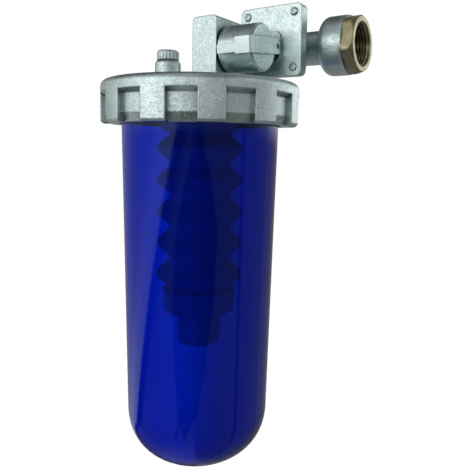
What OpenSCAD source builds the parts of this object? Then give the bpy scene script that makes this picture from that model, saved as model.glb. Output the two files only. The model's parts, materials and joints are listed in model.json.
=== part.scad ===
// Cartridge filter housing: cast head with a rear flange, in-line pipe
// fitting, selector knob, vent screw, ring nut, clear bowl and a corrugated
// cartridge. Millimetres, +Z up. The origin is on the axis
// of the outlet port, at the start of its thread.

/* [Bowl] */
// Outer radius of the bowl wall level with the bottom of the ring nut
bowl_r = 55.8; // [45:0.1:65]
// Height of the tapered wall below the ring nut
bowl_wall_h = 202.5; // [120:0.5:260]
// Depth of the rounded bottom
bowl_dome_h = 41; // [25:0.5:60]
// Loss of radius for each millimetre of depth
bowl_taper = 0.022; // [0:0.001:0.04]
// Wall thickness of the bowl
bowl_wall = 5; // [3:0.1:8]

/* [Ring nut] */
// Outer radius of the ring nut
ring_r = 70; // [60:0.5:80]
// Height of the ring nut
ring_h = 29.3; // [22:0.1:40]
// Number of grip pockets round the ring nut
pocket_count = 12; // [8:1:18]
// Width of one grip pocket, in degrees
pocket_angle = 16.2; // [8:0.1:22]
// Depth of a grip pocket
pocket_depth = 3.5; // [2:0.1:5]

/* [Head] */
// Radius of the head under the ring nut
head_r = 60.7; // [55:0.1:62]
// Half width of the upright valve block
block_half = 10.6; // [10:0.1:11]
// Height of the top of the valve block
block_top = 77.8; // [76:0.1:84]

/* [Selector knob] */
// Radius of the knob body
knob_r = 16.9; // [14:0.1:17.2]
// Height of the knob axis
knob_z = 55.2; // [54:0.1:56]
// Distance of the knob axis behind the bowl axis
knob_y = 19.8; // [19:0.1:20]
// Angle of the grip bar above the horizontal
knob_tilt = 6.5; // [0:0.5:10]

/* [Flange] */
// Side of the square flange plate
plate_side = 51.6; // [50:0.1:54]
// Thickness of the flange plate
plate_t = 8.7; // [8.5:0.1:10]
// Distance from the flange centre to each screw, along either side
screw_pitch_half = 19.7; // [19:0.1:20]

/* [Pipe fitting] */
// Radius of the cross pipe
pipe_r = 13.1; // [12.5:0.1:14]
// Radius of the union cups
cup_r = 22.5; // [22:0.1:24]
// Distance across the flats of a brass insert
hex_af = 41; // [39:0.5:41.5]
// Radius at the crests of the port thread
port_r = 15.15; // [15:0.01:15.3]

/* [Cartridge] */
// Largest radius of the corrugated sleeve
sleeve_r = 31; // [28:0.1:34]
// Smallest radius of the corrugated sleeve
sleeve_root_r = 22; // [20:0.1:24]
// Spacing of the corrugations
sleeve_pitch = 22.6; // [20:0.1:23]
// Number of corrugations
sleeve_waves = 5; // [4:1:5]

/* [Hidden] */
$fn = 96;
eps = 0.01;
cut = 1;

// Start of the outlet port's thread, from the bowl axis
port_x = 84.1;
port_y = 85;
port_z = 63.8;

// Flange and fitting positions from the bowl axis
flange_x = 31;
flange_z = 63.5;
plate_y = 43;
plate_back = plate_y + plate_t;
gasket_t = 1;
rear_y = plate_back + gasket_t;
rear_side = 45;
rear_corner = 3;
rear_t = 6;
neck_r = 15.5;
port_bore_r = 6;
port_gap = 8.1;
plate_corner = 4;

// Screws
screw_r = 2;
screw_len = 14;
screw_head_r = 3;
screw_head_h = 1.2;
socket_r = 1.1;

// Head
head_bottom = 13;
head_top = 28.8;
cavity_top = 20;
cavity_r = 51;
boss_r = 18;
block_y = 2.9;
block_corner = 3;
cross_z = 24;
cross_r = 3.4;
riser_r = 4;
channel_y = 47.35;
channel_r = 3.2;
inlet_y = 46;
inlet_r = 4.5;
inlet_z = 54;
outlet_z = 74;
valve_out_z = 66;
duct_y = 37.7;
duct_x = 27.8;
duct_z0 = 47.5;
duct_z1 = 70;
duct_lip_x = 40.4;
duct_lip_y = 41.4;

// Valve spindle
spindle_r = 8.95;
spindle_bore_r = 9;
spindle_x0 = -7.6;
spindle_x1 = 8;
spindle_seal_x = 5.4;
spindle_port_r = 3;
spindle_groove = 2.2;
stem_r = 5;
stem_bore_r = 5.05;
stem_x1 = 27;
gland_x1 = 10.5;

// Knob
knob_x0 = 11.8;
knob_x1 = 39.6;
knob_rim = 1.5;
bar_x0 = 28.2;
bar_x1 = 41;
bar_near = 19.5;
bar_far = 21.3;
bar_z = 1.3;
bar_half_h = 5.7;
bar_chamfer = 1.3;
rib_x0 = 13;
rib_z0 = -3.3;
rib_z1 = 2.8;
marker_r = 1.9;
marker_y = 18;
marker_depth = 1.2;

// Vent
vent_y = -35.8;
vent_boss_r = 8.45;
vent_boss_z = 40.6;
vent_cap_r = 7.15;
vent_cap_h = 6.2;
vent_bore_r = 3.05;
vent_stem_r = 3;
vent_groove_z = 29;
vent_groove_h = 2;
vent_gap = 0.3;
vent_tip_z = 23.5;
vent_nose_z = 46.5;
vent_neck_r = 2.1;
knurl_count = 20;
knurl_r = 0.55;

// Spigot and cartridge
spigot_r = 9;
spigot_bore_r = 6.5;
spigot_bottom = -9;
spigot_top = 21.5;
spigot_collar_r = 13;
cap_top = 9;
cap_bottom = -4.5;
cap_plug = 12;
cap_r = 27;
cap_rim_z = 3;
cap_neck_r = 14;
cap_groove = 2;
core_r = 15.4;
core_wall = 1.8;
sleeve_wall = 1.4;
sleeve_top = cap_bottom - 0.5;
sleeve_bottom = sleeve_top - sleeve_waves * sleeve_pitch;
base_step_z = sleeve_bottom - 3;
base_bottom = -157.5;
base_disc_z = -135;
base_disc_r = 26;
base_cup_r = 15.5;
base_floor = 3;
wave_steps = 16;
hole_r = 3;
hole_rows = 9;
hole_row_gap = 11;
hole_top_z = -22;
holes_per_row = 6;

// Ring nut and bowl details
lip_t = 7;
lip_bore_r = 57.2;
ring_bore_r = 61.1;
ring_corner = 4.5;
ring_chamfer = 1.5;
pocket_z0 = 6;
pocket_z1 = 18;
pocket_z2 = 21.5;
pocket_deep = 5.5;
pocket_turn = 13;
slip_t = 1.4;
slip_bore_r = 57;
slip_r = 60.6;
bowl_flange_r = 60.2;
bowl_flange_z = lip_t + slip_t;
bowl_top = 12.95;
seal_major = 56;
seal_minor = 1.15;
seal_groove = 1.3;
seal_depth = 2.35;
dome_power = 2.417;
dome_steps = 22;
corner_steps = 8;

// Cup outline, measured from the flange centre along the pipe
cup_x0 = 27;
cup_corner = 6;
cup_seat_r = 15.2;
cup_x1 = 47.2;
mouth_chamfer = 3.2;
mouth_r = 16.8;
hex_turn = -12;
hex_clip_r = 23.2;
hex_chamfer = 3.1;
insert_x1 = port_x + mouth_chamfer - flange_x;
insert_body_r = 18.4;
insert_x0 = 33;
insert_bore_r = 12.5;
washer_r = 18;
washer_t = 1.2;
thread_depth = 16.5;
pipe_end = 30;
pipe_bore = 10.5;
divider = 2.5;

// Node names: head_body, outlet_spigot, vent_stem, vent_knob, vent_seal,
// valve_spindle, spindle_seals, spindle_gland, selector_knob, knob_marker,
// flange_screws, flange_gasket, pipe_fitting, cup_outlet, cup_inlet,
// insert_outlet, insert_inlet, insert_seals, bowl, bowl_seal, slip_ring,
// ring_nut, cartridge_cap, cartridge_seal, cartridge_core,
// cartridge_sleeve, cartridge_base

// Moves a shape drawn about the bowl axis to its place from the port
module at_axis() {
    translate([-port_x, -port_y, -port_z])
        children();
}

// Flat rectangle with round corners, centred
module round_rect(w, h, r) {
    square([w - 2 * r, h], center = true);
    square([w, h - 2 * r], center = true);
    for (sx = [-1, 1])
        for (sy = [-1, 1])
            translate([sx * (w / 2 - r), sy * (h / 2 - r)])
                circle(r = r);
}

// Slab of round-cornered outline, pushed out along +Y from y0
module slab_y(xc, zc, w, h, r, y0, t) {
    translate([xc, y0, zc])
        rotate([-90, 0, 0])
            linear_extrude(height = t)
                round_rect(w, h, r);
}

// Cylinder along +X
module rod_x(x0, x1, y, z, r) {
    translate([x0, y, z])
        rotate([0, 90, 0])
            cylinder(h = x1 - x0, r = r);
}

// Cylinder along +Y
module rod_y(x, y0, y1, z, r) {
    translate([x, y0, z])
        rotate([-90, 0, 0])
            cylinder(h = y1 - y0, r = r);
}

// Cylinder along +Z
module rod_z(x, y, z0, z1, r) {
    translate([x, y, z0])
        cylinder(h = z1 - z0, r = r);
}

// Round ring of round section, flat in the XY plane
module o_ring(major, minor) {
    rotate_extrude()
        translate([major, 0])
            circle(r = minor, $fn = 32);
}

// Cast head: dished disc, valve block, duct and flange plate in one piece
module head_shape() {
    rotate_extrude()
        polygon([[0, head_bottom], [head_r, head_bottom], [head_r, head_top - 1],
            [head_r - 1, head_top], [0, head_top]]);
    slab_y(0, (block_top + cavity_top) / 2, 2 * block_half, block_top - cavity_top,
        block_corner, block_y, plate_back - block_y);
    slab_y(flange_x, flange_z, plate_side, plate_side, plate_corner, plate_y, plate_t);
    slab_y(duct_x / 2, (duct_z0 + duct_z1) / 2, duct_x, duct_z1 - duct_z0,
        plate_corner, duct_y, plate_back - duct_y - 1);
    slab_y(duct_lip_x / 2, (duct_z0 + duct_z1) / 2, duct_lip_x, duct_z1 - duct_z0,
        plate_corner, duct_lip_y, plate_back - duct_lip_y - 2);
    translate([0, vent_y, 0])
        rotate_extrude()
            polygon([[0, cavity_top], [vent_boss_r, cavity_top],
                [vent_boss_r, vent_boss_z - 1.5], [vent_boss_r - 1.5, vent_boss_z],
                [0, vent_boss_z]]);
}

// Water channels inside the head
module head_channels() {
    rotate_extrude()
        polygon([[boss_r, head_bottom - cut], [cavity_r, head_bottom - cut],
            [cavity_r, cavity_top], [boss_r, cavity_top]]);
    rod_z(0, 0, head_bottom - cut, spigot_top, spigot_r);
    rod_z(0, 0, spigot_top - cut, cross_z, riser_r);
    rod_y(0, 0, knob_y, cross_z, cross_r);
    rod_z(0, knob_y, cross_z, knob_z, inlet_r);
    rod_x(spindle_x0 - 0.2, block_half + cut, knob_y, knob_z, spindle_bore_r);
    rod_y(0, knob_y, channel_y, valve_out_z, channel_r);
    rod_z(0, channel_y, valve_out_z, outlet_z, channel_r);
    rod_x(0, flange_x + port_gap, channel_y, outlet_z, channel_r);
    rod_z(flange_x + port_gap, channel_y, flange_z, outlet_z, channel_r);
    rod_z(0, inlet_y, cavity_top - cut, inlet_z, inlet_r);
    rod_x(0, flange_x - port_gap, channel_y, inlet_z, channel_r);
    rod_z(flange_x - port_gap, channel_y, inlet_z, flange_z, channel_r);
    for (s = [-1, 1])
        rod_y(flange_x + s * port_gap, channel_y - 2, plate_back + cut, flange_z,
            port_bore_r);
}

module head_body() {
    color([0.72, 0.74, 0.75]) at_axis()
        difference() {
            head_shape();
            head_channels();
            rod_z(0, vent_y, cavity_top - cut, vent_boss_z + cut, vent_bore_r);
            for (sx = [-1, 1])
                for (sz = [-1, 1])
                    rod_y(flange_x + sx * screw_pitch_half, plate_y - cut,
                        plate_back + cut, flange_z + sz * screw_pitch_half, screw_r);
        }
}

// Threaded tube in the centre of the head that carries the cartridge
module outlet_spigot() {
    color([0.85, 0.85, 0.82]) at_axis()
        difference() {
            union() {
                rod_z(0, 0, spigot_bottom, spigot_top, spigot_r);
                rod_z(0, 0, head_bottom - 2.5, head_bottom, spigot_collar_r);
            }
            rod_z(0, 0, spigot_bottom - cut, spigot_top + cut, spigot_bore_r);
        }
}

// Vent screw: the stem that closes the vent
module vent_stem() {
    color([0.75, 0.75, 0.72]) at_axis()
        translate([0, vent_y, 0])
            difference() {
                union() {
                    rod_z(0, 0, vent_tip_z, vent_boss_z - 1, vent_stem_r);
                    rod_z(0, 0, vent_boss_z - 1 - eps, vent_nose_z - 0.9, vent_neck_r);
                }
                translate([0, 0, vent_groove_z])
                    difference() {
                        cylinder(h = vent_groove_h, r = vent_stem_r + cut);
                        translate([0, 0, -cut])
                            cylinder(h = vent_groove_h + 2 * cut, r = vent_stem_r - 1);
                    }
            }
}

// Vent screw: the knurled cap fixed on its stem
module vent_knob() {
    color([0.66, 0.68, 0.69]) at_axis()
        translate([0, vent_y, vent_boss_z + vent_gap])
            difference() {
                rotate_extrude()
                    polygon([[0, 0], [vent_cap_r, 0], [vent_cap_r, vent_cap_h - 1],
                        [vent_cap_r - 1, vent_cap_h], [0, vent_cap_h]]);
                for (i = [0 : knurl_count - 1])
                    rotate([0, 0, i * 360 / knurl_count])
                        translate([vent_cap_r + 0.1, 0, -cut])
                            cylinder(h = vent_cap_h + 2 * cut, r = knurl_r, $fn = 24);
                translate([0, 0, -cut])
                    cylinder(h = vent_cap_h - 1 + cut, r = vent_neck_r);
            }
}

module vent_seal() {
    color([0.1, 0.1, 0.1]) at_axis()
        translate([0, vent_y, vent_groove_z + vent_groove_h / 2])
            o_ring(vent_stem_r - 0.53, 0.45);
}

// Valve spindle with its cross bore and two seal grooves
module valve_spindle() {
    color([0.7, 0.62, 0.35]) at_axis()
        translate([0, knob_y, knob_z])
            difference() {
                union() {
                    rod_x(spindle_x0, spindle_x1, 0, 0, spindle_r);
                    rod_x(spindle_x1 - eps, stem_x1, 0, 0, stem_r);
                }
                rod_z(0, 0, -spindle_r - cut, spindle_r + cut, spindle_port_r);
                for (s = [-1, 1])
                    translate([s * spindle_seal_x, 0, 0])
                        rotate([0, 90, 0])
                            difference() {
                                cylinder(h = spindle_groove, r = spindle_r + cut,
                                    center = true);
                                cylinder(h = 2 * spindle_groove, r = spindle_r - 2,
                                    center = true);
                            }
            }
}

module spindle_seals() {
    color([0.1, 0.1, 0.1]) at_axis()
        for (s = [-1, 1])
            translate([s * spindle_seal_x, knob_y, knob_z])
                rotate([0, 90, 0])
                    o_ring(spindle_r - 1, 0.95);
}

// Retaining bush that keeps the spindle in the valve block
module spindle_gland() {
    color([0.7, 0.6, 0.3]) at_axis()
        difference() {
            rod_x(spindle_x1 + 0.1, gland_x1, knob_y, knob_z, spindle_bore_r);
            rod_x(spindle_x1 - cut, gland_x1 + cut, knob_y, knob_z, stem_bore_r);
        }
}

// Selector knob: round body, grip bar with a rounded far end, and a rib
module selector_knob() {
    color([0.75, 0.77, 0.78]) at_axis()
        translate([0, knob_y, knob_z])
            rotate([knob_tilt, 0, 0])
                difference() {
                    union() {
                        rotate([0, 90, 0])
                            rotate_extrude()
                                polygon([[0, knob_x0], [knob_r, knob_x0],
                                    [knob_r, knob_x1 - knob_rim],
                                    [knob_r - knob_rim, knob_x1], [0, knob_x1]]);
                        grip_bar();
                        translate([rib_x0, -bar_near, rib_z0])
                            cube([bar_x0 - rib_x0 + 1, bar_near, rib_z1 - rib_z0]);
                    }
                    rod_x(knob_x0 - cut, stem_x1, 0, 0, stem_r);
                    rod_x(bar_x1 - marker_depth, bar_x1 + cut, marker_y, bar_z, marker_r);
                }
}

module grip_bar() {
    intersection() {
        translate([0, 0, bar_z - bar_half_h])
            linear_extrude(height = 2 * bar_half_h)
                polygon([[bar_x0, -bar_near], [bar_x1 - bar_chamfer, -bar_near],
                    [bar_x1, bar_chamfer - bar_near], [bar_x1, bar_far + cut],
                    [bar_x0, bar_far + cut]]);
        rod_x(bar_x0 - cut, bar_x1 + cut, 0, 0, bar_far);
    }
}

// Round marker let into the far end of the grip bar
module knob_marker() {
    color([0.2, 0.2, 0.22]) at_axis()
        translate([0, knob_y, knob_z])
            rotate([knob_tilt, 0, 0])
                rod_x(bar_x1 - marker_depth, bar_x1 - 0.2, marker_y, bar_z, marker_r);
}

// Four screws that clamp the flange to the pipe fitting
module flange_screws() {
    color([0.6, 0.6, 0.6]) at_axis()
        for (sx = [-1, 1])
            for (sz = [-1, 1])
                translate([flange_x + sx * screw_pitch_half, plate_y,
                    flange_z + sz * screw_pitch_half])
                    rotate([-90, 0, 0])
                        difference() {
                            union() {
                                cylinder(h = screw_len, r = screw_r);
                                rotate_extrude()
                                    polygon([[0, 0], [screw_head_r, 0],
                                        [screw_head_r, -0.4], [screw_head_r - 0.6, -0.9],
                                        [screw_head_r - 1.5, -screw_head_h],
                                        [0, -screw_head_h]]);
                            }
                            translate([0, 0, -screw_head_h - cut])
                                cylinder(h = cut + 0.7, r = socket_r, $fn = 6);
                        }
}

module flange_gasket() {
    color([0.12, 0.12, 0.12]) at_axis()
        difference() {
            slab_y(flange_x, flange_z, rear_side, rear_side, rear_corner, plate_back, gasket_t);
            for (s = [-1, 1])
                rod_y(flange_x + s * port_gap, plate_back - cut, rear_y + cut, flange_z,
                    port_bore_r);
            for (sx = [-1, 1])
                for (sz = [-1, 1])
                    rod_y(flange_x + sx * screw_pitch_half, plate_back - cut,
                        rear_y + cut, flange_z + sz * screw_pitch_half, screw_r);
        }
}

// In-line pipe fitting: rear flange, neck and cross pipe with a divider
module pipe_fitting() {
    color([0.72, 0.74, 0.75]) at_axis()
        difference() {
            union() {
                slab_y(flange_x, flange_z, rear_side, rear_side, rear_corner, rear_y, rear_t);
                rod_y(flange_x, rear_y, port_y, flange_z, neck_r);
                rod_x(flange_x - pipe_end, flange_x + pipe_end, port_y, port_z, pipe_r);
            }
            for (m = [0, 1])
                translate([flange_x, port_y, port_z])
                    mirror([m, 0, 0])
                        rod_x(divider, pipe_end + cut, 0, 0, pipe_bore);
            for (s = [-1, 1])
                rod_y(flange_x + s * port_gap, rear_y - cut, port_y, flange_z,
                    port_bore_r - 0.5);
            for (sx = [-1, 1])
                for (sz = [-1, 1])
                    rod_y(flange_x + sx * screw_pitch_half, rear_y - cut,
                        plate_y + screw_len, flange_z + sz * screw_pitch_half, screw_r);
        }
}

cup_arc = [for (i = [1 : corner_steps])
    [cup_r - cup_corner + cup_corner * sin(i * 90 / corner_steps),
        cup_x0 + cup_corner - cup_corner * cos(i * 90 / corner_steps)]];

// Round cup drawn along +X from the flange centre
module cup_shape() {
    rotate([0, 90, 0])
        rotate_extrude()
            polygon(concat([[pipe_r, cup_x0], [cup_r - cup_corner, cup_x0]],
                cup_arc,
                [[cup_r, cup_x1 - 3], [cup_r - 0.4, cup_x1],
                    [insert_body_r, cup_x1], [insert_body_r, insert_x0 - washer_t],
                    [cup_seat_r, insert_x0 - washer_t], [cup_seat_r, pipe_end],
                    [pipe_r, pipe_end]]));
}

module cup_outlet() {
    color([0.72, 0.74, 0.75]) at_axis()
        translate([flange_x, port_y, port_z])
            cup_shape();
}

module cup_inlet() {
    color([0.72, 0.74, 0.75]) at_axis()
        translate([flange_x, port_y, port_z])
            mirror([1, 0, 0])
                cup_shape();
}

// Brass insert with a hexagon flange and a threaded port
module insert_shape() {
    difference() {
        union() {
            rod_x(insert_x0, cup_x1, 0, 0, insert_body_r);
            translate([cup_x1, 0, 0])
                rotate([0, 90, 0])
                    intersection() {
                        rotate([0, 0, hex_turn])
                            cylinder(h = insert_x1 - cup_x1, r = hex_af / sqrt(3), $fn = 6);
                        rotate_extrude()
                            polygon([[0, 0], [hex_clip_r, 0],
                                [hex_clip_r, insert_x1 - cup_x1 - hex_chamfer],
                                [hex_af / 2 - 0.3, insert_x1 - cup_x1],
                                [0, insert_x1 - cup_x1]]);
                    }
        }
        rod_x(insert_x0 - cut, insert_x1, 0, 0, insert_bore_r);
        rod_x(insert_x1 - mouth_chamfer - thread_depth, insert_x1, 0, 0, port_r);
        rotate([0, 90, 0])
            rotate_extrude()
                polygon([[0, insert_x1 - mouth_chamfer], [port_r, insert_x1 - mouth_chamfer],
                    [mouth_r, insert_x1], [mouth_r, insert_x1 + cut], [0, insert_x1 + cut]]);
    }
}

module insert_outlet() {
    color([0.62, 0.56, 0.36]) at_axis()
        translate([flange_x, port_y, port_z])
            insert_shape();
}

module insert_inlet() {
    color([0.62, 0.56, 0.36]) at_axis()
        translate([flange_x, port_y, port_z])
            mirror([1, 0, 0])
                insert_shape();
}

// Flat washers that seal the inserts against the pipe ends
module insert_seals() {
    color([0.1, 0.1, 0.1]) at_axis()
        translate([flange_x, port_y, port_z])
            for (m = [0, 1])
                mirror([m, 0, 0])
                    difference() {
                        rod_x(insert_x0 - washer_t, insert_x0, 0, 0, washer_r);
                        rod_x(insert_x0 - washer_t - cut, insert_x0 + cut, 0, 0,
                            insert_bore_r);
                    }
}

// Points of the rounded bottom: radius and height for a wall line
function dome_r(a, r) = r * pow(cos(a), 2 / dome_power);
function dome_z(a, z, h) = z - h * pow(sin(a), 2 / dome_power);
wall_r = bowl_r - bowl_taper * bowl_wall_h;
outer_dome = [for (i = [0 : dome_steps - 1])
    [dome_r(i * 90 / dome_steps, wall_r), dome_z(i * 90 / dome_steps, -bowl_wall_h,
        bowl_dome_h)]];
inner_dome = [for (i = [dome_steps - 1 : -1 : 0])
    [dome_r(i * 90 / dome_steps, wall_r - bowl_wall), dome_z(i * 90 / dome_steps,
        -bowl_wall_h, bowl_dome_h - bowl_wall)]];

// Clear bowl with a top flange and a groove for its seal
module bowl() {
    color([0.05, 0.12, 0.5, 0.6]) at_axis()
        difference() {
            rotate_extrude($fn = 128)
                polygon(concat(
                    [[bowl_flange_r, bowl_top], [bowl_flange_r, bowl_flange_z],
                        [bowl_r + 0.1, bowl_flange_z], [bowl_r, 0]],
                    outer_dome,
                    [[0, -bowl_wall_h - bowl_dome_h],
                        [0, -bowl_wall_h - bowl_dome_h + bowl_wall]],
                    inner_dome,
                    [[bowl_r - bowl_wall, 0], [bowl_r - bowl_wall, bowl_top]]));
            rotate_extrude()
                translate([seal_major - seal_groove, bowl_top - seal_depth])
                    square([2 * seal_groove, seal_depth + cut]);
        }
}

module bowl_seal() {
    color([0.1, 0.1, 0.1]) at_axis()
        translate([0, 0, bowl_top - seal_depth + seal_minor])
            o_ring(seal_major, seal_minor);
}

// Low-friction washer between the bowl flange and the ring nut
module slip_ring() {
    color([0.85, 0.85, 0.8]) at_axis()
        rotate_extrude()
            translate([slip_bore_r, lip_t])
                square([slip_r - slip_bore_r, slip_t - 0.05]);
}

corner_arc = [for (i = [0 : corner_steps])
    [ring_r - ring_corner + ring_corner * cos(i * 90 / corner_steps),
        ring_h - ring_corner + ring_corner * sin(i * 90 / corner_steps)]];

// Ring nut with grip pockets open at the bottom
module ring_nut() {
    color([0.72, 0.74, 0.75]) at_axis()
        difference() {
            rotate_extrude()
                polygon(concat([[lip_bore_r, 0], [ring_r - ring_chamfer, 0],
                    [ring_r, ring_chamfer]],
                    corner_arc,
                    [[ring_bore_r + 1, ring_h], [ring_bore_r, ring_h - 1],
                        [ring_bore_r, lip_t], [lip_bore_r, lip_t]]));
            for (i = [0 : pocket_count - 1])
                rotate([0, 0, (i + 0.5) * 360 / pocket_count - pocket_angle / 2 + pocket_turn])
                    rotate_extrude(angle = pocket_angle)
                        polygon([[ring_r - pocket_deep, -cut], [ring_r + cut, -cut],
                            [ring_r + cut, pocket_z2], [ring_r - pocket_depth, pocket_z1],
                            [ring_r - pocket_depth, pocket_z0]]);
        }
}

// Upper end cap of the cartridge, bored to push over the spigot
module cartridge_cap() {
    color([0.9, 0.9, 0.88]) at_axis()
        difference() {
            union() {
                rotate_extrude()
                    polygon([[0, cap_bottom], [cap_r, cap_bottom], [cap_r, cap_rim_z],
                        [cap_neck_r + 2, cap_rim_z + 2], [cap_neck_r, cap_top],
                        [0, cap_top]]);
                rod_z(0, 0, cap_bottom - cap_plug, cap_bottom + eps, core_r - core_wall);
            }
            rod_z(0, 0, cap_bottom - cap_plug - cut, cap_top + cut, spigot_r + 0.35);
            translate([0, 0, cap_rim_z])
                rotate_extrude()
                    translate([spigot_r, 0])
                        square(cap_groove);
        }
}

module cartridge_seal() {
    color([0.1, 0.1, 0.1]) at_axis()
        translate([0, 0, cap_rim_z + cap_groove / 2])
            o_ring(spigot_r + 1.1, 0.85);
}

// Perforated inner tube of the cartridge
module cartridge_core() {
    color([0.85, 0.85, 0.82]) at_axis()
        difference() {
            rod_z(0, 0, base_step_z, cap_bottom, core_r);
            rod_z(0, 0, base_step_z - cut, cap_bottom + cut, core_r - core_wall);
            for (j = [1 : hole_rows])
                for (i = [0 : holes_per_row - 1])
                    rotate([0, 0, (i + (j % 2) / 2) * 360 / holes_per_row])
                        rod_x(core_r - core_wall - cut, core_r + cut, 0,
                            hole_top_z - (j - 1) * hole_row_gap, hole_r);
        }
}

wave_n = sleeve_waves * wave_steps;
wave_mid = (sleeve_r + sleeve_root_r) / 2;
wave_amp = (sleeve_r - sleeve_root_r) / 2;
function wave_r(i) = wave_mid - wave_amp * cos(i * 360 / wave_steps);
function wave_z(i) = sleeve_top - i * sleeve_pitch / wave_steps;

// Corrugated filter sleeve of the cartridge
module cartridge_sleeve() {
    color([0.75, 0.78, 0.8]) at_axis()
        rotate_extrude()
            polygon(concat([for (i = [0 : wave_n]) [wave_r(i), wave_z(i)]],
                [for (i = [wave_n : -1 : 0]) [wave_r(i) - sleeve_wall, wave_z(i)]]));
}

// Lower end of the cartridge: closed disc with a narrower collector cup
module cartridge_base() {
    color([0.9, 0.9, 0.88]) at_axis()
        difference() {
            rotate_extrude()
                polygon([[0, base_bottom], [base_cup_r - 1, base_bottom],
                    [base_cup_r, base_bottom + 1], [base_cup_r, base_disc_z - 3],
                    [base_disc_r - 3, base_disc_z], [base_disc_r, base_disc_z + 3],
                    [base_disc_r, sleeve_bottom], [core_r, sleeve_bottom],
                    [core_r, base_step_z], [0, base_step_z]]);
            rod_z(0, 0, base_bottom + base_floor, base_step_z + cut, core_r - core_wall - 1);
        }
}

head_body();
outlet_spigot();
vent_stem();
vent_knob();
vent_seal();
valve_spindle();
spindle_seals();
spindle_gland();
selector_knob();
knob_marker();
flange_screws();
flange_gasket();
pipe_fitting();
cup_outlet();
cup_inlet();
insert_outlet();
insert_inlet();
insert_seals();
bowl();
bowl_seal();
slip_ring();
ring_nut();
cartridge_cap();
cartridge_seal();
cartridge_core();
cartridge_sleeve();
cartridge_base();
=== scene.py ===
import json
import math

import bmesh
import bpy
from mathutils import Matrix, Vector


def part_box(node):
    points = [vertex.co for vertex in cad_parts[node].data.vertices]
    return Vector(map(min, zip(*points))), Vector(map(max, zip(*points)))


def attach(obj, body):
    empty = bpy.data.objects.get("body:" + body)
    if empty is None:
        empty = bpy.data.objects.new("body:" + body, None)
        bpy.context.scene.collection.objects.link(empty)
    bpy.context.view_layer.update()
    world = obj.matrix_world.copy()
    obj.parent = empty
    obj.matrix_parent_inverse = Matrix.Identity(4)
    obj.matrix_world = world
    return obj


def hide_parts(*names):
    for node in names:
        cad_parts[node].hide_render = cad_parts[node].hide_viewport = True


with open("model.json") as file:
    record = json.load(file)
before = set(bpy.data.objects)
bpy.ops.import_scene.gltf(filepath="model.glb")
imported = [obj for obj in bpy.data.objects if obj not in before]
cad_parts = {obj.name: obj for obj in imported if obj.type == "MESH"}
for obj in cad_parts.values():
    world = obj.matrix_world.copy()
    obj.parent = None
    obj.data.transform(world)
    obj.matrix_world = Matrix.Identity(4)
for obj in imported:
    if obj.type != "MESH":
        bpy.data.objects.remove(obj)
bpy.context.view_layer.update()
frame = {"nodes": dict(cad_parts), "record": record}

MM = 0.001
# The bowl's axis at the ring nut's lower edge, from the outlet port, in millimetres
BOWL_FROM_PORT = Vector((-84.1, -85.0, -63.8))
AXIS = BOWL_FROM_PORT * MM
BOWL_BOTTOM_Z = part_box("bowl")[0][2]

# ---------------------------------------------------------------- materials


def new_material(name):
    """An empty node material with one Principled shader; returns both."""
    mat = bpy.data.materials.new(name)
    mat.use_nodes = True
    shader = mat.node_tree.nodes["Principled BSDF"]
    return mat, shader


def add_node(mat, kind, **settings):
    """A shader node with its properties set."""
    node = mat.node_tree.nodes.new(kind)
    for key, value in settings.items():
        setattr(node, key, value)
    return node


def link(mat, source, target):
    """Joins an output socket to an input socket."""
    mat.node_tree.links.new(source, target)


def object_noise(mat, scale, detail=3.0, stretch=(1.0, 1.0, 1.0)):
    """Noise in object space, with scale in features per metre."""
    coords = add_node(mat, "ShaderNodeTexCoord")
    mapping = add_node(mat, "ShaderNodeMapping")
    mapping.inputs["Scale"].default_value = stretch
    noise = add_node(mat, "ShaderNodeTexNoise")
    noise.inputs["Scale"].default_value = scale
    noise.inputs["Detail"].default_value = detail
    link(mat, coords.outputs["Object"], mapping.inputs["Vector"])
    link(mat, mapping.outputs["Vector"], noise.inputs["Vector"])
    return noise.outputs["Fac"]


def ramp(mat, value, low, high, lo_at=0.3, hi_at=0.7):
    """Maps a value to a colour between low and high."""
    node = add_node(mat, "ShaderNodeValToRGB")
    node.color_ramp.elements[0].position = lo_at
    node.color_ramp.elements[1].position = hi_at
    node.color_ramp.elements[0].color = (*low, 1.0)
    node.color_ramp.elements[1].color = (*high, 1.0)
    link(mat, value, node.inputs["Fac"])
    return node.outputs["Color"]


def map_range(mat, value, low, high, lo_at=0.3, hi_at=0.7):
    """Maps a value to a number between low and high."""
    node = add_node(mat, "ShaderNodeMapRange")
    node.inputs["From Min"].default_value = lo_at
    node.inputs["From Max"].default_value = hi_at
    node.inputs["To Min"].default_value = low
    node.inputs["To Max"].default_value = high
    link(mat, value, node.inputs["Value"])
    return node.outputs["Result"]


def bump(mat, shader, value, strength, depth, under=None):
    """A bump of the given real depth in metres, on top of another one."""
    node = add_node(mat, "ShaderNodeBump")
    node.inputs["Strength"].default_value = strength
    node.inputs["Distance"].default_value = depth
    link(mat, value, node.inputs["Height"])
    if under is not None:
        link(mat, under, node.inputs["Normal"])
    link(mat, node.outputs["Normal"], shader.inputs["Normal"])
    return node.outputs["Normal"]


EDGE_SAMPLES, CORNER_SAMPLES = 6, 8
CORNER_REACH = 0.006
MOTTLE_SCALE, MOTTLE_DEPTH = 90.0, 0.0003
WHITE = (1.0, 1.0, 1.0)


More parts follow.
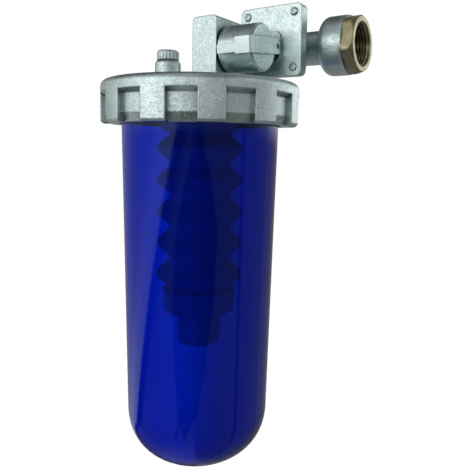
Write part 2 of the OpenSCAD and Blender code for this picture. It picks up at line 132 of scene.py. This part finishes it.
def cast_metal(name, low, high, rough, grain, depth, edge, fleck):
    """Silver casting: sand grain, soft mottling, and painted shade that darkens the colour in
    corners and recesses. grain is in features per metre, depth and edge are in metres, fleck
    darkens between grains."""
    mat, shader = new_material(name)
    shader.inputs["Metallic"].default_value = 1.0
    mottle = object_noise(mat, MOTTLE_SCALE, 4.0)
    sand = object_noise(mat, grain, 2.0)
    speckle = add_node(mat, "ShaderNodeMix", data_type="RGBA", blend_type="MULTIPLY")
    speckle.inputs["Factor"].default_value = 1.0
    link(mat, ramp(mat, mottle, low, high), speckle.inputs["A"])
    link(mat, ramp(mat, sand, (fleck, fleck, fleck), WHITE, 0.3, 0.6), speckle.inputs["B"])
    # Painted shade: ambient occlusion darkens the base colour in corners, pockets and recesses,
    # where shade falls
    corners = add_node(mat, "ShaderNodeAmbientOcclusion", samples=CORNER_SAMPLES)
    corners.inputs["Distance"].default_value = CORNER_REACH
    painted_corner_shade = map_range(mat, corners.outputs["AO"], 0.3, 1.0, 0.35, 0.95)
    corner_shaded_colour = add_node(mat, "ShaderNodeVectorMath", operation="SCALE")
    link(mat, speckle.outputs["Result"], corner_shaded_colour.inputs[0])
    link(mat, painted_corner_shade, corner_shaded_colour.inputs["Scale"])
    link(mat, corner_shaded_colour.outputs["Vector"], shader.inputs["Base Color"])
    link(mat, map_range(mat, object_noise(mat, 400.0), rough - 0.07, rough + 0.09),
         shader.inputs["Roughness"])
    edges = add_node(mat, "ShaderNodeBevel", samples=EDGE_SAMPLES)
    edges.inputs["Radius"].default_value = edge
    soft = bump(mat, shader, mottle, 0.35, MOTTLE_DEPTH, edges.outputs["Normal"])
    bump(mat, shader, sand, 1.0, depth, soft)
    return mat


def brass_metal(name, low, high):
    """Turned brass: fine circular tool marks round the port axis and dull patches."""
    mat, shader = new_material(name)
    shader.inputs["Metallic"].default_value = 1.0
    patches = object_noise(mat, 160.0, 4.0)
    link(mat, ramp(mat, patches, low, high), shader.inputs["Base Color"])
    link(mat, map_range(mat, object_noise(mat, 500.0), 0.26, 0.44),
         shader.inputs["Roughness"])
    lines = object_noise(mat, 900.0, 2.0, (3.0, 0.2, 0.2))
    bump(mat, shader, lines, 0.35, 0.00006)
    return mat


def steel_metal(name, low, high):
    """Bright or dulled steel with small stains."""
    mat, shader = new_material(name)
    shader.inputs["Metallic"].default_value = 1.0
    link(mat, ramp(mat, object_noise(mat, 700.0), low, high), shader.inputs["Base Color"])
    link(mat, map_range(mat, object_noise(mat, 1200.0), 0.22, 0.4),
         shader.inputs["Roughness"])
    bump(mat, shader, object_noise(mat, 2500.0), 0.3, 0.00003)
    return mat


def rubber(name):
    """Black rubber with a fine matt skin."""
    mat, shader = new_material(name)
    link(mat, ramp(mat, object_noise(mat, 900.0), (0.012, 0.012, 0.013), (0.03, 0.03, 0.031)),
         shader.inputs["Base Color"])
    shader.inputs["Roughness"].default_value = 0.62
    bump(mat, shader, object_noise(mat, 3000.0), 0.4, 0.00003)
    return mat


def blue_clear(name):
    """Clear cobalt-blue plastic, glossy, with faint flow lines from the mould."""
    mat, shader = new_material(name)
    shader.inputs["Base Color"].default_value = (0.03, 0.45, 0.9, 1.0)
    shader.inputs["Transmission Weight"].default_value = 1.0
    shader.inputs["IOR"].default_value = 1.49
    shader.inputs["Specular Tint"].default_value = (0.75, 0.95, 1.0, 1.0)
    depth = add_node(mat, "ShaderNodeVolumeAbsorption")
    depth.inputs["Color"].default_value = (0.12, 0.22, 0.74, 1.0)
    depth.inputs["Density"].default_value = 400.0
    link(mat, depth.outputs["Volume"],
         mat.node_tree.nodes["Material Output"].inputs["Volume"])
    flow = object_noise(mat, 30.0, 3.0, (1.0, 1.0, 0.25))
    link(mat, map_range(mat, object_noise(mat, 220.0), 0.02, 0.06),
         shader.inputs["Roughness"])
    bump(mat, shader, flow, 0.12, 0.0006)
    return mat


def white_plastic(name):
    """Off-white moulded plastic, a little uneven in colour and gloss."""
    mat, shader = new_material(name)
    link(mat, ramp(mat, object_noise(mat, 120.0), (0.62, 0.63, 0.62), (0.76, 0.77, 0.76)),
         shader.inputs["Base Color"])
    link(mat, map_range(mat, object_noise(mat, 900.0), 0.38, 0.5),
         shader.inputs["Roughness"])
    bump(mat, shader, object_noise(mat, 2200.0), 0.25, 0.00004)
    return mat


# Wires round the sleeve, and radians of wave per metre of its height
WIRES_ROUND, WIRES_UP = 340.0, 12000.0


def woven_mesh(name):
    """Filter mesh: two crossed sets of fine wires, about 0.5 mm apart."""
    mat, shader = new_material(name)
    coords = add_node(mat, "ShaderNodeTexCoord")
    shift = add_node(mat, "ShaderNodeVectorMath", operation="SUBTRACT")
    shift.inputs[1].default_value = AXIS
    parts = add_node(mat, "ShaderNodeSeparateXYZ")
    link(mat, coords.outputs["Object"], shift.inputs[0])
    link(mat, shift.outputs["Vector"], parts.inputs["Vector"])
    around = add_node(mat, "ShaderNodeMath", operation="ARCTAN2")
    link(mat, parts.outputs["Y"], around.inputs[0])
    link(mat, parts.outputs["X"], around.inputs[1])
    waves = []
    for source, rate in ((around.outputs["Value"], WIRES_ROUND), (parts.outputs["Z"], WIRES_UP)):
        times = add_node(mat, "ShaderNodeMath", operation="MULTIPLY")
        times.inputs[1].default_value = rate
        link(mat, source, times.inputs[0])
        wave = add_node(mat, "ShaderNodeMath", operation="SINE")
        link(mat, times.outputs["Value"], wave.inputs[0])
        waves.append(wave.outputs["Value"])
    both = add_node(mat, "ShaderNodeMath", operation="MAXIMUM")
    link(mat, waves[0], both.inputs[0])
    link(mat, waves[1], both.inputs[1])
    link(mat, ramp(mat, both.outputs["Value"], (0.5, 0.52, 0.53), (0.88, 0.9, 0.9)),
         shader.inputs["Base Color"])
    shader.inputs["Roughness"].default_value = 0.6
    bump(mat, shader, both.outputs["Value"], 0.5, 0.0002)
    return mat


MATERIALS = {
    "cast_alloy": cast_metal("cast_alloy", (0.64, 0.77, 0.765), (0.78, 0.93, 0.92),
                             0.36, 1000.0, 0.00016, 0.0012, 0.74),
    "satin_alloy": cast_metal("satin_alloy", (0.8, 0.95, 0.95), (0.83, 0.98, 0.98),
                              0.3, 2600.0, 0.00002, 0.0004, 0.93),
    "brass": brass_metal("brass", (0.34, 0.31, 0.17), (0.5, 0.46, 0.29)),
    "steel": steel_metal("steel", (0.42, 0.47, 0.47), (0.66, 0.72, 0.72)),
    "rubber": rubber("rubber"),
    "blue_bowl": blue_clear("blue_bowl"),
    "moulded_white": white_plastic("moulded_white"),
    "filter_mesh": woven_mesh("filter_mesh"),
}

for part in frame["record"]["subparts"]:
    node = frame["nodes"][part["node"]]
    node.data.materials.clear()
    node.data.materials.append(MATERIALS[part["material_slot"]])

marker_materials = frame["nodes"]["knob_marker"].data.materials
marker_materials.clear()
marker_materials.append(steel_metal("dark_steel", (0.03, 0.035, 0.035), (0.16, 0.17, 0.17)))

# ---------------------------------------------------------------- rounded edges

# Width of the rounding on each casting's sharp edges, in millimetres
EDGE_ROUNDING = {"ring_nut": 0.9, "head_body": 0.9, "selector_knob": 0.7,
                 "pipe_fitting": 0.8}
SHARP_FROM = math.radians(38.0)
for name, width in EDGE_ROUNDING.items():
    soften = frame["nodes"][name].modifiers.new("edges", "BEVEL")
    soften.width = width * MM
    soften.segments = 3
    soften.limit_method = "ANGLE"
    soften.angle_limit = SHARP_FROM
    soften.harden_normals = False
    soften.use_clamp_overlap = True

# ---------------------------------------------------------------- brass inserts

# Millimetres. Distances along the pipe start at the middle of the flange plate.
FLANGE_X = 31.0
INSERT_BACK, CUP_FACE, INSERT_FACE = 33.0, 47.2, 56.3
BODY_R, BORE_R = 18.4, 12.5
HEX_AF, HEX_CLIP_R, HEX_TURN = 41.0, 23.2, math.radians(12.0)
HEX_CHAMFER, HEX_CHAMFER_STEPS, HEX_FACE_INSET = 3.1, 5, 0.3
HEX_BACK_INSET, HEX_BACK_DEPTH = 0.5, 0.6
MOUTH_R, MOUTH_DEPTH = 16.8, 3.2
THREAD_CREST_R, THREAD_ROOT_R, THREAD_PITCH, THREAD_LENGTH = 15.15, 16.62, 2.309, 19.4
# Share of the pitch that is level at a crest or a root, and the mesh's steps
THREAD_FLAT = 0.12
STEPS_ROUND, STEPS_PER_PITCH = 120, 10
CREASE_FROM = math.radians(28.0)


def thread_radius(along, angle):
    """Radius of a right-hand internal thread with flat crests and roots."""
    phase = (along / THREAD_PITCH + angle / (2.0 * math.pi)) % 1.0
    rise = abs(2.0 * phase - 1.0)
    rise = min(max((rise - THREAD_FLAT) / (1.0 - 2.0 * THREAD_FLAT), 0.0), 1.0)
    return THREAD_CREST_R + (THREAD_ROOT_R - THREAD_CREST_R) * rise


def insert_stations(direction):
    """(distance along the pipe, radius rule) once round the insert's section."""

    def plain(radius):
        return lambda angle: radius

    def hexagon(limit):
        def rule(angle):
            folded = (angle - direction * HEX_TURN) % (math.pi / 3.0) - math.pi / 6.0
            return min(HEX_AF / 2.0 / math.cos(folded), limit)
        return rule

    stations = [(INSERT_BACK, plain(BORE_R)), (INSERT_BACK, plain(BODY_R)),
                (CUP_FACE, plain(BODY_R)), (CUP_FACE, hexagon(HEX_CLIP_R - HEX_BACK_INSET)),
                (CUP_FACE + HEX_BACK_DEPTH, hexagon(HEX_CLIP_R))]
    inward = HEX_CLIP_R - HEX_AF / 2.0 + HEX_FACE_INSET
    for i in range(HEX_CHAMFER_STEPS + 1):
        part = i / HEX_CHAMFER_STEPS
        stations.append((INSERT_FACE - HEX_CHAMFER * (1.0 - part),
                         hexagon(HEX_CLIP_R - inward * part)))
    stations.append((INSERT_FACE, plain(MOUTH_R)))
    steps = int(THREAD_LENGTH / THREAD_PITCH * STEPS_PER_PITCH)
    for i in range(1, steps + 1):
        along = INSERT_FACE - i * THREAD_PITCH / STEPS_PER_PITCH
        lead_in = MOUTH_R - (MOUTH_R - THREAD_CREST_R) * (INSERT_FACE - along) / MOUTH_DEPTH
        stations.append((along, lambda angle, x=along, least=lead_in:
                         max(thread_radius(x, angle), least)))
    end = INSERT_FACE - (steps + 1) * THREAD_PITCH / STEPS_PER_PITCH
    stations += [(end, plain(THREAD_CREST_R)), (end, plain(BORE_R))]
    return stations


def make_insert(name, node, direction):
    """A brass insert with a real thread; direction is +1 or -1 along the pipe."""
    stations = insert_stations(direction)
    centre = AXIS + Vector((FLANGE_X, -BOWL_FROM_PORT.y, -BOWL_FROM_PORT.z)) * MM
    vertices, faces = [], []
    for i in range(STEPS_ROUND):
        angle = 2.0 * math.pi * i / STEPS_ROUND
        for along, rule in stations:
            radius = rule(angle)
            offset = Vector((direction * along, direction * radius * math.sin(angle),
                             radius * math.cos(angle)))
            vertices.append(centre + offset * MM)
    count = len(stations)
    for i in range(STEPS_ROUND):
        here, there = i * count, (i + 1) % STEPS_ROUND * count
        for j in range(count):
            k = (j + 1) % count
            faces.append((here + j, here + k, there + k, there + j))
    mesh = bpy.data.meshes.new(name)
    mesh.from_pydata(vertices, [], faces)
    mesh.update()
    bm = bmesh.new()
    bm.from_mesh(mesh)
    bmesh.ops.recalc_face_normals(bm, faces=bm.faces)
    bm.to_mesh(mesh)
    bm.free()
    mesh.shade_smooth()
    mesh.set_sharp_from_angle(angle=CREASE_FROM)
    mesh.materials.append(MATERIALS["brass"])
    piece = bpy.data.objects.new(name, mesh)
    bpy.context.scene.collection.objects.link(piece)
    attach(piece, "housing")
    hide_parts(node)


make_insert("threaded_insert_outlet", "insert_outlet", 1.0)
make_insert("threaded_insert_inlet", "insert_inlet", -1.0)

# ---------------------------------------------------------------- camera

CAMERA_FROM_AXIS = Vector((229.457, -296.907, -12.445)) * MM
CAMERA_RIGHT = Vector((0.82998, 0.55753, 0.01719))
CAMERA_UP = Vector((-0.06218, 0.06185, 0.99615))
SENSOR_MM, LENS_MM = 36.0, 39.53
LENS_SHIFT_Y = -0.10
NEAREST, FARTHEST = 0.01, 50.0

camera = bpy.data.objects.new("camera", bpy.data.cameras.new("camera"))
bpy.context.scene.collection.objects.link(camera)
right = CAMERA_RIGHT.normalized()
up = (CAMERA_UP - CAMERA_UP.dot(right) * right).normalized()
back = right.cross(up)
turn = Matrix((right, up, back)).transposed()
camera.matrix_world = Matrix.Translation(AXIS + CAMERA_FROM_AXIS) @ turn.to_4x4()
camera.data.sensor_width = SENSOR_MM
camera.data.lens = LENS_MM
camera.data.shift_y = LENS_SHIFT_Y
camera.data.clip_start = NEAREST
camera.data.clip_end = FARTHEST
bpy.context.scene.camera = camera

# ---------------------------------------------------------------- stage

FLOOR_DROP = 0.30
FLOOR_HALF = 12.0
FLOOR_GLOW = 0.75


def make_floor():
    """A large pale floor below the object, which hangs from its pipe."""
    mesh = bpy.data.meshes.new("floor")
    z = BOWL_BOTTOM_Z - FLOOR_DROP
    corners = [(sx * FLOOR_HALF, sy * FLOOR_HALF, z)
               for sx, sy in ((-1, -1), (1, -1), (1, 1), (-1, 1))]
    mesh.from_pydata(corners, [], [(0, 1, 2, 3)])
    floor = bpy.data.objects.new("floor", mesh)
    bpy.context.scene.collection.objects.link(floor)
    mat, shader = new_material("floor")
    shader.inputs["Base Color"].default_value = (0.93, 0.93, 0.93, 1.0)
    shader.inputs["Roughness"].default_value = 0.9
    shader.inputs["Emission Color"].default_value = (*WHITE, 1.0)
    shader.inputs["Emission Strength"].default_value = FLOOR_GLOW
    mesh.materials.append(mat)
    floor.visible_diffuse = False
    floor.visible_glossy = False
    floor.visible_transmission = False


make_floor()

FRONT_AZIMUTH = math.radians(37.7)
FRONT = Vector((math.sin(FRONT_AZIMUTH), -math.cos(FRONT_AZIMUTH), 0.0))
SIDE = Vector((math.cos(FRONT_AZIMUTH), math.sin(FRONT_AZIMUTH), 0.0))


# Degrees that the left-hand walls lean for each unit of a ray's slope
LEFT_SLANT = -150.0


def make_world():
    """White to the eye, and paler on the left seen through the bowl. Reflections see a
    soft studio: bright walls above eye height, and below it two dim panels with a dark
    bottle-shaped gap between them in front and grey walls behind."""
    world = bpy.data.worlds.new("studio")
    bpy.context.scene.world = world
    world.use_nodes = True
    tree = world.node_tree
    tree.nodes.clear()

    def node(kind, **settings):
        made = tree.nodes.new(kind)
        for key, value in settings.items():
            setattr(made, key, value)
        return made

    def join(source, target):
        tree.links.new(source, target)

    def dot(vector, axis):
        made = node("ShaderNodeVectorMath", operation="DOT_PRODUCT")
        made.inputs[1].default_value = axis
        join(vector, made.inputs[0])
        return made.outputs["Value"]

    def maths(operation, a, b=None):
        made = node("ShaderNodeMath", operation=operation)
        for socket, value in zip(made.inputs, (a, b)):
            if isinstance(value, (int, float)):
                socket.default_value = value
            elif value is not None:
                join(value, socket)
        return made.outputs["Value"]

    def steps(value, low, high, stops):
        """A colour ramp over low..high; stops are (place, grey level)."""
        scaled = node("ShaderNodeMapRange")
        scaled.inputs["From Min"].default_value = low
        scaled.inputs["From Max"].default_value = high
        join(value, scaled.inputs["Value"])
        made = node("ShaderNodeValToRGB")
        elements = made.color_ramp.elements
        for i, (at, level) in enumerate(stops):
            place = (at - low) / (high - low)
            element = elements[i] if i < 2 else elements.new(place)
            element.position = place
            element.color = (level, level, level, 1.0)
        join(scaled.outputs["Result"], made.inputs["Fac"])
        return made.outputs["Color"]

    coords = node("ShaderNodeTexCoord").outputs["Generated"]
    toward, across = dot(coords, FRONT), dot(coords, SIDE)
    up_part = dot(coords, (0.0, 0.0, 1.0))
    azimuth = maths("MULTIPLY", maths("ARCTAN2", across, toward), 180.0 / math.pi)
    level_part = maths("SQRT", maths("ADD", maths("MULTIPLY", toward, toward),
                                     maths("MULTIPLY", across, across)))
    slope = maths("DIVIDE", up_part, level_part)

    # Stops are (degrees round from the front, brightness)
    walls_above = steps(azimuth, -180.0, 180.0, (
        (-180.0, 0.25), (180.0, 0.25), (-150.0, 0.4), (-110.0, 0.6), (-100.0, 1.2),
        (-80.0, 1.0), (-60.0, 2.1), (-45.0, 1.8), (-20.0, 1.3), (20.0, 0.6), (60.0, 0.45),
        (85.0, 0.7), (100.0, 1.15), (113.0, 0.9), (120.0, 1.6), (140.0, 1.4)))
    on_left = maths("LESS_THAN", azimuth, -5.0)
    slant = maths("MULTIPLY", maths("MULTIPLY", slope, LEFT_SLANT), on_left)
    walls_below = steps(maths("ADD", azimuth, slant), -180.0, 180.0, (
        (-180.0, 0.4), (180.0, 0.3), (-96.0, 0.26), (-70.0, 0.35), (-55.0, 0.6),
        (-34.0, 0.6), (-29.0, 0.01), (-20.0, 0.01), (-10.0, 0.1), (20.0, 0.12),
        (59.0, 0.16), (63.0, 0.02), (69.0, 0.16), (140.0, 0.2)))
    zenith = node("ShaderNodeMapRange", interpolation_type="SMOOTHSTEP")
    zenith.inputs["From Min"].default_value = 0.12
    zenith.inputs["From Max"].default_value = 0.6
    zenith.inputs["To Min"].default_value = 1.0
    zenith.inputs["To Max"].default_value = 0.2
    join(up_part, zenith.inputs["Value"])
    above = node("ShaderNodeVectorMath", operation="SCALE")
    join(walls_above, above.inputs[0])
    join(zenith.outputs["Result"], above.inputs["Scale"])
    # The gap's half width in degrees, and how far its middle stands to the left,
    # as the ray slopes down
    half_width = steps(slope, -0.72, 0.0, (
        (-0.72, 0.0), (0.0, 0.08), (-0.66, 0.02), (-0.6, 0.16), (-0.5, 0.25),
        (-0.35, 0.32), (-0.22, 0.31), (-0.1, 0.17), (-0.06, 0.08)))
    middle = steps(slope, -0.72, 0.0, (
        (-0.72, 0.26), (0.0, 0.04), (-0.6, 0.16), (-0.35, 0.085), (-0.22, 0.045),
        (-0.1, 0.02)))
    offset = maths("ABSOLUTE", maths("ADD", azimuth, maths("MULTIPLY", middle, 100.0)))
    outside = maths("SUBTRACT", offset, maths("MULTIPLY", half_width, 100.0))
    gap = node("ShaderNodeMapRange", interpolation_type="SMOOTHSTEP")
    gap.inputs["From Min"].default_value = -2.5
    gap.inputs["From Max"].default_value = 1.5
    gap.inputs["To Min"].default_value = 0.06
    join(outside, gap.inputs["Value"])

    below = node("ShaderNodeVectorMath", operation="SCALE")
    join(walls_below, below.inputs[0])
    join(gap.outputs["Result"], below.inputs["Scale"])
    blend = node("ShaderNodeMapRange", interpolation_type="SMOOTHSTEP")
    blend.inputs["From Min"].default_value = -0.03
    blend.inputs["From Max"].default_value = 0.06
    join(slope, blend.inputs["Value"])
    both = node("ShaderNodeMix", data_type="RGBA")
    join(blend.outputs["Result"], both.inputs["Factor"])
    join(below.outputs["Vector"], both.inputs["A"])
    join(above.outputs["Vector"], both.inputs["B"])

    soft = node("ShaderNodeBackground")
    join(both.outputs["Result"], soft.inputs["Color"])
    through = node("ShaderNodeMapRange", interpolation_type="SMOOTHSTEP")
    through.inputs["From Min"].default_value = -0.12
    through.inputs["From Max"].default_value = 0.09
    through.inputs["To Min"].default_value = 1.45
    through.inputs["To Max"].default_value = 0.6
    join(across, through.inputs["Value"])
    white = node("ShaderNodeBackground")
    white.inputs["Color"].default_value = (*WHITE, 1.0)
    path = node("ShaderNodeLightPath")
    seen = maths("MAXIMUM", path.outputs["Is Camera Ray"],
                 path.outputs["Is Transmission Ray"])
    strength = node("ShaderNodeMix", data_type="FLOAT")
    join(path.outputs["Is Camera Ray"], strength.inputs["Factor"])
    join(through.outputs["Result"], strength.inputs["A"])
    strength.inputs["B"].default_value = 1.0
    join(strength.outputs["Result"], white.inputs["Strength"])
    mix = node("ShaderNodeMixShader")
    join(seen, mix.inputs["Fac"])
    join(soft.outputs["Background"], mix.inputs[1])
    join(white.outputs["Background"], mix.inputs[2])
    out = node("ShaderNodeOutputWorld")
    join(mix.outputs["Shader"], out.inputs["Surface"])


make_world()

AIM = AXIS + Vector((0.0, 0.0, -0.04))


def softbox(name, azimuth, elevation, distance, width, height, radiance):
    """A rectangular soft light. Azimuth 0 stands on the -Y side, 90 on the +X side."""
    a, e = math.radians(azimuth), math.radians(elevation)
    away = Vector((math.sin(a) * math.cos(e), -math.cos(a) * math.cos(e), math.sin(e)))
    data = bpy.data.lights.new(name, "AREA")
    data.shape = "RECTANGLE"
    data.size = width
    data.size_y = height
    data.energy = radiance * math.pi * width * height
    light = bpy.data.objects.new(name, data)
    light.location = AIM + away * distance
    light.rotation_mode = "QUATERNION"
    light.rotation_quaternion = away.to_track_quat("Z", "Y")
    light.visible_camera = False
    light.visible_transmission = False
    bpy.context.scene.collection.objects.link(light)


softbox("key", -30.0, 30.0, 1.4, 0.7, 0.5, 0.5)
softbox("fill_right", 100.0, 35.0, 1.4, 0.6, 0.6, 0.6)
softbox("top", 0.0, 75.0, 1.3, 0.6, 0.4, 0.2)

bpy.context.scene.view_settings.view_transform = "Standard"
